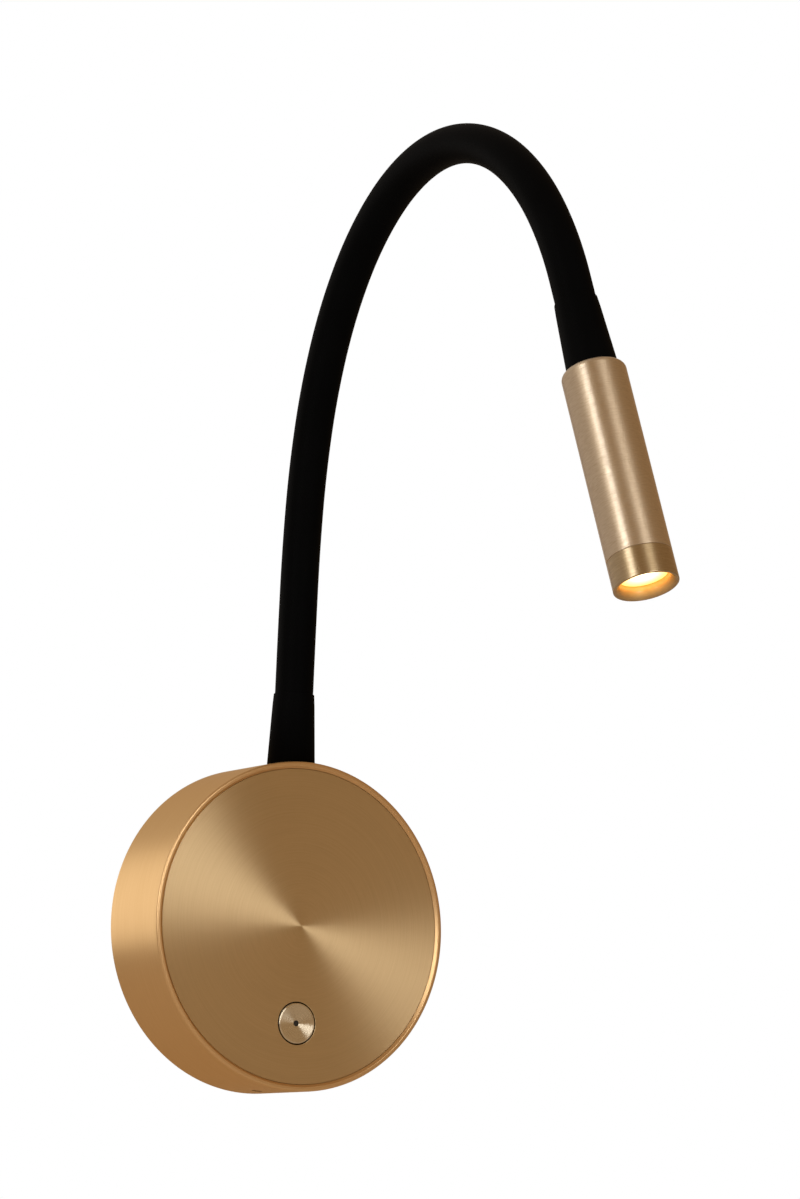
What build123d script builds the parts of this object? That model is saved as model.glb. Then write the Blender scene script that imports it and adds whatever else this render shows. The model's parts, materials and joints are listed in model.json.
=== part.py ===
# Wall spotlight: a round wall base with a push button, a sleeved gooseneck and a slim lamp head.
# Millimetres. The origin is the centre of the base's back face, on the wall; +Z is up, the front faces -Y.
# A "depth" is a distance from the wall, a "run" a distance along the neck from the top of the base.
import os
from math import cos, pi, radians, sin, sqrt

from build123d import *

# Base shell and face disc
base_d = 100.0
base_depth = 29.5
shell_wall = 1.5
lip_width = 2.1
lip_round = 0.8
lip_bevel = 0.95
bevel_round = 0.9
ledge_width = 3.5
ledge_t = 1.5
disc_t = 1.5
disc_recess = 0.8
disc_gap = 0.1
disc_edge = 0.12

# Wall plate, its tabs and the screw that holds the shell on it
plate_t = 2.0
plate_gap = 0.3
wall_screw_spacing = 60.0
wall_screw_hole_d = 4.5
inlet_d = 12.0
inlet_drop = 25.0
tab_count = 3
tab_width = 9.0
tab_t = 2.0
tab_end = 6.0
tab_gap = 0.6
set_screw_d = 3.0
set_screw_length = 6.0
set_screw_depth = 14.0
set_screw_angle = -95.0
set_screw_sink = 0.4
hex_key = 1.5
hex_key_sink = 1.5
thread_gap = 0.05
hole_gap = 0.2

# Push button and its switch
button_d = 12.3
button_gap = 0.5
button_inset = 20.5
button_proud = 0.2
button_edge = 0.35
button_rim = 0.5
button_dish = 0.5
button_travel = 1.2
button_flange_d = 14.8
button_flange_t = 0.8
button_stem_d = 4.0
button_stem_length = 2.3
dot_d = 1.7
dot_hole_depth = 1.6
dot_sink = 0.8
dot_gap = 0.05
plunger_d = 3.4
plunger_length = 3.8
plunger_show = 1.8
plunger_gap = 0.15
switch_side = 7.0
switch_height = 4.0

# Switch board, spacers and screws
board_width = 36.0
board_height = 18.0
board_t = 1.6
spacer_d = 5.2
spacer_spacing = 27.0
board_screw_d = 2.4
board_screw_grip = 5.0
board_screw_head_d = 4.6
board_screw_head_t = 1.6

# Driver, terminal, wires, grommet and earth screw
driver_width = 44.0
driver_height = 32.0
driver_cover = 3.0
driver_rise = 4.0
driver_round = 2.0
terminal_width = 18.0
terminal_height = 11.0
terminal_room = 1.9
terminal_x = 21.0
terminal_drop = 25.0
terminal_pitch = 8.0
terminal_screw_d = 3.6
terminal_screw_t = 2.0
terminal_hole_depth = 4.0
terminal_entry_d = 3.0
slot_width = 0.7
slot_depth = 0.8
supply_wire_d = 2.0
switch_wire_d = 1.4
switch_wire_pitch = 5.0
grommet_flange_d = 16.0
grommet_flange_t = 2.5
grommet_bore_d = 7.0
grommet_set_back = 0.2
earth_screw_d = 4.0
earth_head_d = 8.0
earth_head_t = 2.4
earth_x = -22.0
earth_drop = 25.0

# Neck: its bend as it is set, its core, sleeve, lead and end fittings
exit_set_back = 11.5
neck_length = 340.0
end_run = 30.0
link_count = 11
bend_start = 39.5
crown_run = 199.0
crown_radius = 63.0
run_out = 396.0
head_lean = 5.0
neck_swing = 2.4
straight_limit = 0.0001
core_d = 8.6
core_bore_d = 5.0
nose_r = 4.8
knuckle_gap = 0.3
sleeve_d = 11.8
sleeve_wall = 1.4
lead_d = 4.4
ferrule_collar_d = 11.5
ferrule_collar_length = 10.0
ferrule_socket_depth = 7.0
ferrule_thread_d = 9.9
ferrule_thread_length = 10.0
socket_gap = 0.05
nut_across_flats = 13.0
nut_t = 3.0
washer_d = 14.0
washer_t = 1.0
washer_gap = 0.05
boot_length = 22.0
boot_foot_d = 14.8
boot_top_d = 13.0
boot_shoulder = 3.5
boot_lip = 0.3
boot_gap = 0.05

# Lamp head
head_d = 18.6
head_length = 67.5
head_edge = 1.8
head_top_t = 6.0
head_upper_wall = 2.1
head_wall = 1.4
bezel_length = 8.8
bezel_edge = 0.4
seam_chamfer = 0.25
spigot_length = 5.0
spigot_wall = 1.2
mouth_flare_d = 17.6
mouth_d = 14.2
flare_depth = 1.5
flare_round = 1.2
lens_sink = 3.5
lens_t = 2.0
lens_gap = 0.05
lens_edge = 0.1
lens_shoulder = 0.8
lens_shoulder_t = 1.5
heat_sink_length = 12.0
sink_gap = 0.1
led_board_t = 1.6
led_board_gap = 0.3
led_side = 5.0
led_t = 0.7
led_dome_d = 3.6
led_dome_height = 1.2
led_dome_round = 1.0
reflector_height = 8.9
reflector_gap = 0.1
reflector_throat_d = 7.4
reflector_wall = 1.0
reflector_rim = 2.0
reflector_lip = 0.5

# Places worked out from the sizes above
base_r = base_d / 2
shell_inner_r = base_r - shell_wall
lip_r = base_r - lip_width
exit_depth = base_depth - exit_set_back
disc_front = base_depth - disc_recess
disc_seat = disc_front - disc_t
plate_r = shell_inner_r - plate_gap
tab_outer_r = plate_r - tab_gap
button_drop = base_r - button_inset
button_hole_d = button_d + 2 * button_gap
button_front = disc_front + button_proud
flange_front = disc_seat - hole_gap
flange_back = flange_front - button_flange_t
stem_back = flange_back - button_stem_length
switch_front = stem_back - plunger_show
switch_back = switch_front - switch_height
board_back = switch_back - board_t
driver_depth = exit_depth + driver_cover - plate_t
terminal_front = board_back - board_screw_head_t - terminal_room
terminal_depth = terminal_front - plate_t
driver_bottom = driver_rise - driver_height / 2
driver_top = driver_rise + driver_height / 2
terminal_top = terminal_height / 2 - terminal_drop
board_top = board_height / 2 - button_drop
sleeve_bore_d = sleeve_d - 2 * sleeve_wall
saddle_r = nose_r + knuckle_gap
head_r = head_d / 2
seam_run = head_length - bezel_length
head_bore_r = head_r - head_wall
head_step_r = head_r - head_upper_wall
lens_front = head_length - lens_sink
lens_back = lens_front - lens_t
shoulder_back = lens_back - lens_shoulder_t
spigot_start = seam_run - spigot_length
spigot_r = head_bore_r - sink_gap
spigot_bore_r = spigot_r - spigot_wall
shoulder_r = mouth_d / 2 - lens_shoulder
led_board_front = shoulder_back - reflector_height
sink_end = led_board_front - led_board_t
sink_start = sink_end - heat_sink_length

wall_centre = Vector(0, 0, 0)
out_of_wall = Vector(0, -1, 0)
button_centre = Vector(0, 0, -button_drop)
up = Vector(0, 0, 1)
neck_side = Vector(1, 0, 0).rotate(Axis.Z, -neck_swing)


def wall(depth):
    """Plane parallel to the wall at a depth, facing the room: its x is +X and its y is +Z."""
    return Plane.XZ.offset(depth)


def across(direction):
    """Unit vector square to a direction, as near to the side of the neck's plane as it can be."""
    return (neck_side - direction * direction.dot(neck_side)).normalized()


def square_to(point, direction):
    """Plane at a point, square to a direction."""
    return Plane(origin=point, x_dir=across(direction), z_dir=direction)


def lengthwise(point, direction):
    """Plane through a point: its x is square to a direction and its y runs along it."""
    side = across(direction)
    return Plane(origin=point, x_dir=side, z_dir=side.cross(direction))


def turned(origin, direction, outline):
    """Turned piece: an outline of (radius, distance along direction) points, carried round the axis."""
    with BuildSketch(lengthwise(origin, direction)) as half:
        with BuildLine():
            Polyline(*outline, close=True)
        make_face()
    revolve(half.sketch, axis=Axis(origin, direction))


def rod(origin, direction, diameter, length, bore=0.0):
    """Plain rod or tube that starts at a point and runs along a direction."""
    with BuildSketch(square_to(origin, direction)) as section:
        Circle(diameter / 2)
        if bore:
            Circle(bore / 2, mode=Mode.SUBTRACT)
    extrude(section.sketch, amount=length)


def bore_out(origin, direction, diameter, length):
    """Round hole from a point along a direction."""
    with BuildSketch(square_to(origin, direction)) as section:
        Circle(diameter / 2)
    extrude(section.sketch, amount=length, mode=Mode.SUBTRACT)


def rim(part, radius, axis, first=True):
    """The first or last circular edge of a radius along an axis."""
    rings = part.edges().filter_by(GeomType.CIRCLE).filter_by(lambda e: abs(e.radius - radius) < 1e-4)
    return rings.sort_by(axis)[0 if first else -1]


def save(part, name):
    """Labels a finished piece and writes it."""
    part.part.label = name
    export_step(part.part, f"parts/{name}.step")


def neck_turn(run):
    """Angle from straight up: curvature grows evenly up to the crown, then dies away as a cosine."""
    rise = min(max((run - bend_start) / (crown_run - bend_start), 0), 1)
    fall = min(max((run - crown_run) / (run_out - crown_run), 0), 1)
    up_to_crown = (crown_run - bend_start) / 2 * rise**2
    past_crown = (run_out - crown_run) * 2 / pi * sin(pi / 2 * fall)
    return (up_to_crown + past_crown) / crown_radius


def neck_heading(run):
    """Unit vector along the neck: out from the wall with the turn, leaning past the crown, swung to -X."""
    share = min(max((run - crown_run) / (neck_length - end_run - crown_run), 0), 1)
    lean = radians(head_lean) * share**2 * (3 - 2 * share)
    turn = neck_turn(run)
    heading = Vector(sin(lean), -cos(lean) * sin(turn), cos(lean) * cos(turn))
    return heading.rotate(Axis.Z, -neck_swing)


def arc_step(start, end, length):
    """Chord of an arc of a length that leaves along start and arrives along end."""
    middle = (start + end).normalized()
    half_angle = radians(start.get_angle(end)) / 2
    if half_angle < radians(straight_limit):
        return middle * length
    return middle * (length * sin(half_angle) / half_angle)


# The neck's stretches run from mark to mark, with a hinge at every mark between the two straight ends.
link_length = (neck_length - 2 * end_run) / link_count
runs = [0.0] + [end_run + link_length * k for k in range(link_count + 1)] + [neck_length]
hinge_count = link_count + 1
headings = [neck_heading(min(max(run, end_run), neck_length - end_run)) for run in runs]
marks = [Vector(0, -exit_depth, base_r)]
for k in range(hinge_count + 1):
    marks.append(marks[k] + arc_step(headings[k], headings[k + 1], runs[k + 1] - runs[k]))
neck_start = marks[0]
head_top = marks[-1]
head_axis = headings[-1]


def hinge_axis(k):
    """Axis of hinge k: odd hinges bend the neck out and in, even ones sway it sideways."""
    side = across(headings[k])
    return side if k % 2 else headings[k].cross(side)


def stretch(k, outer_d, bore_d=0.0, trim=0.0):
    """Ring or disc carried along stretch k of the neck; the two end stretches stop short by a trim."""
    start = marks[k] + headings[k] * (trim if k == 0 else 0)
    length = runs[k + 1] - runs[k] - (trim if k in (0, hinge_count) else 0)
    angle = headings[k].get_angle(headings[k + 1])
    if angle < straight_limit:
        rod(start, headings[k], outer_d, length, bore_d)
    else:
        turn_axis = headings[k].cross(headings[k + 1]).normalized()
        centre = start + turn_axis.cross(headings[k]) * (length / radians(angle))
        with BuildSketch(square_to(start, headings[k])) as section:
            Circle(outer_d / 2)
            if bore_d:
                Circle(bore_d / 2, mode=Mode.SUBTRACT)
        revolve(section.sketch, axis=Axis(centre, turn_axis), revolution_arc=angle)


def knuckle(k, radius, mode):
    """Round of a radius about hinge k's axis, wide enough for the core."""
    with BuildSketch(Plane(origin=marks[k], x_dir=headings[k], z_dir=hinge_axis(k))) as section:
        Circle(radius)
    extrude(section.sketch, amount=core_d, both=True, mode=mode)


os.makedirs("parts", exist_ok=True)

# Wall plate: flat steel disc with two fixing holes, a cable inlet and bent tabs round its edge
set_screw_way = Vector(cos(radians(set_screw_angle)), 0, sin(radians(set_screw_angle)))
set_screw_centre = out_of_wall * set_screw_depth
with BuildPart() as wall_plate:
    with BuildSketch(wall(0)):
        Circle(plate_r)
        with GridLocations(wall_screw_spacing, 0, 2, 1):
            Circle(wall_screw_hole_d / 2, mode=Mode.SUBTRACT)
        with Locations((0, -inlet_drop)):
            Circle(inlet_d / 2, mode=Mode.SUBTRACT)
        with Locations((earth_x, -earth_drop)):
            Circle(earth_screw_d / 2 + thread_gap, mode=Mode.SUBTRACT)
    extrude(amount=plate_t)
    with BuildSketch(wall(plate_t)):
        with PolarLocations(tab_outer_r - tab_t / 2, tab_count, start_angle=set_screw_angle):
            Rectangle(tab_t, tab_width)
    extrude(amount=set_screw_depth + tab_end - plate_t)
    bore_out(set_screw_centre, set_screw_way, set_screw_d + 2 * thread_gap, base_r)
save(wall_plate, "wall_plate")

# Base shell: deep cup with a rounded lip that slopes down to the disc, a ledge for the disc,
# the neck's hole and the set screw's hole
with BuildPart() as base_shell:
    ledge_r = lip_r - ledge_width
    ledge_back = disc_seat - ledge_t
    turned(wall_centre, out_of_wall, [
        (shell_inner_r, 0),
        (base_r, 0),
        (base_r, base_depth),
        (lip_r + lip_bevel, base_depth),
        (lip_r, disc_front),
        (lip_r, disc_seat),
        (ledge_r, disc_seat),
        (ledge_r, ledge_back),
        (shell_inner_r, ledge_back),
    ])
    fillet(rim(base_shell, base_r, Axis.Y), lip_round)
    fillet(rim(base_shell, lip_r + lip_bevel, Axis.Y), bevel_round)
    bore_out(out_of_wall * exit_depth, up, ferrule_thread_d + 2 * hole_gap, base_r + shell_wall)
    bore_out(set_screw_centre, set_screw_way, set_screw_d + 2 * hole_gap, base_r + shell_wall)
save(base_shell, "base_shell")

# Set screw: threaded rod with a hexagon socket, just under the shell's surface
with BuildPart() as shell_set_screw:
    set_screw_end = set_screw_centre + set_screw_way * (base_r - set_screw_sink)
    rod(set_screw_end, -set_screw_way, set_screw_d, set_screw_length)
    with BuildSketch(square_to(set_screw_end, -set_screw_way)):
        RegularPolygon(hex_key / 2, 6, major_radius=False)
    extrude(amount=hex_key_sink, mode=Mode.SUBTRACT)
save(shell_set_screw, "shell_set_screw")

# Face disc, let into the lip
with BuildPart() as face_disc:
    with BuildSketch(wall(disc_seat)):
        Circle(lip_r - disc_gap)
        with Locations((0, -button_drop)):
            Circle(button_hole_d / 2, mode=Mode.SUBTRACT)
    extrude(amount=disc_t)
    chamfer(rim(face_disc, lip_r - disc_gap, Axis.Y), disc_edge)
save(face_disc, "face_disc")

# Push button: dished cap, flange behind the disc and stem, with a small hole in the middle of its front
with BuildPart() as button_cap:
    turned(button_centre, out_of_wall, [
        (0, stem_back),
        (button_stem_d / 2, stem_back),
        (button_stem_d / 2, flange_back),
        (button_flange_d / 2, flange_back),
        (button_flange_d / 2, flange_front),
        (button_d / 2, flange_front),
        (button_d / 2, button_front),
        (button_d / 2 - button_rim, button_front),
        (0, button_front - button_dish),
    ])
    fillet(rim(button_cap, button_d / 2, Axis.Y), button_edge)
    bore_out(button_centre + out_of_wall * button_front, -out_of_wall, dot_d + 2 * dot_gap, dot_hole_depth)
save(button_cap, "button_cap")

with BuildPart() as button_dot:
    dot_start = button_centre + out_of_wall * (button_front - dot_hole_depth)
    rod(dot_start, out_of_wall, dot_d, dot_hole_depth - dot_sink)
save(button_dot, "button_dot")

# Switch: plunger under the button's stem, square body with a well for it, board, spacers and screws
with BuildPart() as switch_plunger:
    rod(button_centre + out_of_wall * stem_back, -out_of_wall, plunger_d, plunger_length)
    fillet(rim(switch_plunger, plunger_d / 2, Axis.Y), button_edge)
save(switch_plunger, "switch_plunger")

with BuildPart() as push_switch:
    with BuildSketch(wall(switch_back)):
        with Locations((0, -button_drop)):
            RectangleRounded(switch_side, switch_side, button_edge)
    extrude(amount=switch_height)
    well_depth = plunger_length - plunger_show + button_travel + plunger_gap
    well_mouth = button_centre + out_of_wall * switch_front
    bore_out(well_mouth, -out_of_wall, plunger_d + 2 * plunger_gap, well_depth)
save(push_switch, "push_switch")

with BuildPart() as switch_board:
    with BuildSketch(wall(board_back)):
        with Locations((0, -button_drop)):
            RectangleRounded(board_width, board_height, spacer_d / 2)
            with GridLocations(spacer_spacing, 0, 2, 1):
                Circle(board_screw_d / 2 + hole_gap, mode=Mode.SUBTRACT)
    extrude(amount=board_t)
save(switch_board, "switch_board")

with BuildPart() as board_spacers:
    with BuildSketch(wall(switch_back)):
        with Locations((0, -button_drop)):
            with GridLocations(spacer_spacing, 0, 2, 1):
                Circle(spacer_d / 2)
                Circle(board_screw_d / 2 + thread_gap, mode=Mode.SUBTRACT)
    extrude(amount=disc_seat - switch_back)
save(board_spacers, "board_spacers")

with BuildPart() as board_screws:
    with BuildSketch(wall(board_back)):
        with Locations((0, -button_drop)):
            with GridLocations(spacer_spacing, 0, 2, 1):
                Circle(board_screw_d / 2)
    extrude(amount=board_t + board_screw_grip)
    with BuildSketch(wall(board_back)):
        with Locations((0, -button_drop)):
            with GridLocations(spacer_spacing, 0, 2, 1):
                Circle(board_screw_head_d / 2)
    extrude(amount=-board_screw_head_t)
save(board_screws, "board_screws")

# Driver: potted box on the plate; the lamp lead comes out of its top, the switch wires out of its foot
with BuildPart() as led_driver:
    with BuildSketch(wall(plate_t)):
        with Locations((0, driver_rise)):
            RectangleRounded(driver_width, driver_height, driver_round)
    extrude(amount=driver_depth)
    chamfer(led_driver.faces().sort_by(Axis.Y)[0].edges(), driver_round / 2)
save(led_driver, "led_driver")

with BuildPart() as switch_wires:
    with BuildSketch(Plane.XY.offset(board_top)):
        with Locations((0, -(board_back + board_t / 2))):
            with GridLocations(switch_wire_pitch, 0, 2, 1):
                Circle(switch_wire_d / 2)
    extrude(amount=driver_bottom - board_top)
save(switch_wires, "switch_wires")

# Supply terminal: block with two clamp screws in wells, wire entries below and wires up to the driver
with BuildPart() as terminal_block:
    with BuildSketch(wall(plate_t)):
        with Locations((terminal_x, -terminal_drop)):
            Rectangle(terminal_width, terminal_height)
    extrude(amount=terminal_depth)
    with BuildSketch(wall(terminal_front)):
        with Locations((terminal_x, -terminal_drop)):
            with GridLocations(terminal_pitch, 0, 2, 1):
                Circle(terminal_screw_d / 2 + hole_gap)
    extrude(amount=-terminal_hole_depth, mode=Mode.SUBTRACT)
    with BuildSketch(Plane.XY.offset(terminal_top - terminal_height)):
        with Locations((terminal_x, -(plate_t + terminal_depth / 3))):
            with GridLocations(terminal_pitch, 0, 2, 1):
                Circle(terminal_entry_d / 2)
    extrude(amount=terminal_height / 2, mode=Mode.SUBTRACT)
save(terminal_block, "terminal_block")

with BuildPart() as terminal_screws:
    with BuildSketch(wall(terminal_front - terminal_hole_depth)):
        with Locations((terminal_x, -terminal_drop)):
            with GridLocations(terminal_pitch, 0, 2, 1):
                Circle(terminal_screw_d / 2)
    extrude(amount=terminal_screw_t)
    with BuildSketch(wall(terminal_front - terminal_hole_depth + terminal_screw_t)):
        with Locations((terminal_x, -terminal_drop)):
            Rectangle(terminal_width, slot_width)
    extrude(amount=-slot_depth, mode=Mode.SUBTRACT)
save(terminal_screws, "terminal_screws")

with BuildPart() as supply_wires:
    with BuildSketch(Plane.XY.offset(terminal_top)):
        with Locations((terminal_x - terminal_pitch / 2, -(plate_t + terminal_depth / 3))):
            with GridLocations(terminal_pitch / 2, 0, 2, 1):
                Circle(supply_wire_d / 2)
    extrude(amount=driver_bottom - terminal_top)
save(supply_wires, "supply_wires")

# Grommet in the cable inlet: a neck in the plate's hole and a flange on the plate
with BuildPart() as cable_grommet:
    turned(Vector(0, 0, -inlet_drop), out_of_wall, [
        (grommet_bore_d / 2, grommet_set_back),
        (inlet_d / 2 - thread_gap, grommet_set_back),
        (inlet_d / 2 - thread_gap, plate_t),
        (grommet_flange_d / 2, plate_t),
        (grommet_flange_d / 2, plate_t + grommet_flange_t / 2),
        (grommet_flange_d / 2 - grommet_flange_t / 2, plate_t + grommet_flange_t),
        (grommet_bore_d / 2, plate_t + grommet_flange_t),
    ])
save(cable_grommet, "cable_grommet")

# Earth screw in the plate, with a domed and slotted head
with BuildPart() as earth_screw:
    earth_foot = Vector(earth_x, 0, -earth_drop)
    turned(earth_foot, out_of_wall, [
        (0, grommet_set_back),
        (earth_screw_d / 2, grommet_set_back),
        (earth_screw_d / 2, plate_t),
        (earth_head_d / 2, plate_t),
        (earth_head_d / 2, plate_t + earth_head_t / 2),
        (earth_head_d / 4, plate_t + earth_head_t),
        (0, plate_t + earth_head_t),
    ])
    with BuildSketch(wall(plate_t + earth_head_t)):
        with Locations((earth_x, -earth_drop)):
            Rectangle(earth_head_d, slot_width)
    extrude(amount=-slot_depth, mode=Mode.SUBTRACT)
save(earth_screw, "earth_screw")

# End fittings: a collar with a socket for the core, and a threaded stem through the shell or into the head
socket_floor = ferrule_collar_length - ferrule_socket_depth


def collar(origin, direction, foot):
    """Collar of an end fitting, from its foot up to the mouth of its socket."""
    collar_r = ferrule_collar_d / 2
    socket_r = core_d / 2 + socket_gap
    turned(origin, direction, [
        (core_bore_d / 2, foot),
        (collar_r, foot),
        (collar_r, ferrule_collar_length),
        (socket_r, ferrule_collar_length),
        (socket_r, socket_floor),
        (core_bore_d / 2, socket_floor),
    ])


with BuildPart() as lower_ferrule:
    collar(neck_start, up, -shell_wall)
    bore_out(wall_centre, out_of_wall, base_d, base_depth)
    stem_length = socket_floor + ferrule_thread_length
    rod(neck_start + up * socket_floor, -up, ferrule_thread_d, stem_length, core_bore_d)
save(lower_ferrule, "lower_ferrule")

with BuildPart() as upper_ferrule:
    collar(head_top, -head_axis, 0)
    rod(head_top, head_axis, ferrule_thread_d, head_top_t, core_bore_d)
save(upper_ferrule, "upper_ferrule")

# Washer and nut inside the shell: the washer's sides touch the shell's curved wall
washer_top = sqrt(shell_inner_r**2 - (washer_d / 2) ** 2) - washer_gap
neck_axis_foot = out_of_wall * exit_depth
with BuildPart() as lock_washer:
    rod(neck_axis_foot + up * washer_top, -up, washer_d, washer_t, ferrule_thread_d + 2 * hole_gap)
save(lock_washer, "lock_washer")

with BuildPart() as ferrule_nut:
    with BuildSketch(square_to(neck_axis_foot + up * (washer_top - washer_t), -up)):
        RegularPolygon(nut_across_flats / 2, 6, major_radius=False)
        Circle(ferrule_thread_d / 2 + thread_gap, mode=Mode.SUBTRACT)
    extrude(amount=nut_t)
save(ferrule_nut, "ferrule_nut")

# Boots: tapered rubber cones with a soft shoulder where they let the sleeve go


def boot(origin, direction, foot):
    """Tapered boot from its foot up to its shoulder."""
    bore_r = sleeve_d / 2 + boot_gap
    foot_r = boot_foot_d / 2
    top_r = boot_top_d / 2
    shoulder = boot_length - boot_shoulder
    with BuildSketch(lengthwise(origin, direction)) as half:
        with BuildLine():
            Polyline((bore_r + boot_lip, boot_length), (bore_r, boot_length), (bore_r, foot), (foot_r, foot))
            Line((foot_r, foot), (top_r, shoulder))
            Spline(
                (top_r, shoulder),
                (bore_r + boot_lip, boot_length),
                tangents=((top_r - foot_r, shoulder), (bore_r - top_r, boot_shoulder / 2)),
            )
        make_face()
    revolve(half.sketch, axis=Axis(origin, direction))


with BuildPart() as lower_boot:
    boot(neck_start, up, -shell_wall)
    bore_out(wall_centre, out_of_wall, base_d, base_depth)
save(lower_boot, "lower_boot")

with BuildPart() as upper_boot:
    boot(head_top, -head_axis, 0)
save(upper_boot, "upper_boot")

# Neck core: stiff stretches, each with a round nose in the saddle of the stretch before it
for k in range(hinge_count + 1):
    with BuildPart() as neck_core:
        if k > 0:
            rod(marks[k], -headings[k], core_d, nose_r, core_bore_d)
            knuckle(k, nose_r, Mode.INTERSECT)
        stretch(k, core_d, core_bore_d, socket_floor)
        if k < hinge_count:
            knuckle(k + 1, saddle_r, Mode.SUBTRACT)
    save(neck_core, f"neck_core_{k:02d}")

# Rubber sleeve over the same stretches, from one end fitting to the other
for k in range(hinge_count + 1):
    with BuildPart() as neck_sleeve:
        stretch(k, sleeve_d, sleeve_bore_d, ferrule_collar_length)
    save(neck_sleeve, f"neck_sleeve_{k:02d}")

# Head body: turned tube with a closed top, a step for the heat sink and a bevelled end at the seam
thread_hole_r = ferrule_thread_d / 2 + thread_gap
with BuildPart() as head_body:
    turned(head_top, head_axis, [
        (thread_hole_r, 0),
        (head_r, 0),
        (head_r, seam_run),
        (head_bore_r, seam_run),
        (head_bore_r, sink_start),
        (head_step_r, sink_start),
        (head_step_r, head_top_t),
        (thread_hole_r, head_top_t),
    ])
    fillet(rim(head_body, head_r, Axis(head_top, head_axis)), head_edge)
    chamfer(rim(head_body, head_r, Axis(head_top, head_axis), first=False), seam_chamfer)
save(head_body, "head_body")

# Lamp lead: from the driver, through the end fittings and the core, to the back of the LED board
with BuildPart() as lamp_lead:
    rod(neck_axis_foot + up * driver_top, up, lead_d, base_r - driver_top)
    for k in range(hinge_count + 1):
        stretch(k, lead_d)
    rod(head_top, head_axis, lead_d, sink_end)
save(lamp_lead, "lamp_lead")

# Heat sink, LED board and LED chip, stacked on the step in the tube
with BuildPart() as heat_sink:
    sink_d = 2 * (head_bore_r - sink_gap)
    rod(head_top + head_axis * sink_start, head_axis, sink_d, heat_sink_length, core_bore_d)
save(heat_sink, "heat_sink")

with BuildPart() as led_board:
    rod(head_top + head_axis * sink_end, head_axis, 2 * (head_bore_r - led_board_gap), led_board_t)
save(led_board, "led_board")

with BuildPart() as led_chip:
    with BuildSketch(square_to(head_top + head_axis * led_board_front, head_axis)):
        Rectangle(led_side, led_side)
    extrude(amount=led_t)
    rod(head_top + head_axis * (led_board_front + led_t), head_axis, led_dome_d, led_dome_height)
    fillet(rim(led_chip, led_dome_d / 2, Axis(head_top, head_axis), first=False), led_dome_round)
save(led_chip, "led_chip")

# Reflector: thin cone from the chip to the lens's shoulder, with a straight rim
with BuildPart() as reflector:
    reflector_r = spigot_bore_r - reflector_gap
    throat_r = reflector_throat_d / 2
    turned(head_top, head_axis, [
        (throat_r, led_board_front),
        (throat_r + reflector_wall, led_board_front),
        (reflector_r, shoulder_back - reflector_rim),
        (reflector_r, shoulder_back),
        (reflector_r - reflector_lip, shoulder_back),
    ])
save(reflector, "reflector")

# Bezel ring: flared mouth, seat for the lens and a spigot that screws into the tube
with BuildPart() as bezel_ring:
    mouth_r = mouth_d / 2
    turned(head_top, head_axis, [
        (spigot_bore_r, spigot_start),
        (spigot_r, spigot_start),
        (spigot_r, seam_run),
        (head_r, seam_run),
        (head_r, head_length),
        (mouth_flare_d / 2, head_length),
        (mouth_r, head_length - flare_depth),
        (mouth_r, lens_back),
        (shoulder_r, lens_back),
        (shoulder_r, shoulder_back),
        (spigot_bore_r, shoulder_back),
    ])
    fillet(rim(bezel_ring, head_r, Axis(head_top, head_axis), first=False), bezel_edge)
    fillet(rim(bezel_ring, mouth_r, Axis(head_top, head_axis), first=False), flare_round)
    chamfer(rim(bezel_ring, head_r, Axis(head_top, head_axis)), seam_chamfer)
save(bezel_ring, "bezel_ring")

with BuildPart() as lens:
    rod(head_top + head_axis * lens_back, head_axis, mouth_d - 2 * lens_gap, lens_t)
    chamfer(rim(lens, mouth_d / 2 - lens_gap, Axis(head_top, head_axis), first=False), lens_edge)
save(lens, "lens")
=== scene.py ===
# %% [markdown]
# # A wall spotlight
# The lamp is a round brass base that screws to the wall, a black gooseneck and a slim brass head. Its CAD
# model already holds every piece at its real size, so this lesson gives the pieces their looks: it loads
# that model as a fixed frame, sets the camera and the light, makes the finishes, and swaps the faceted
# pieces that show for smooth ones worked out with numpy.

# %% Load the frame
import json

import bpy
import numpy as np
from mathutils import Matrix, Vector


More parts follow.
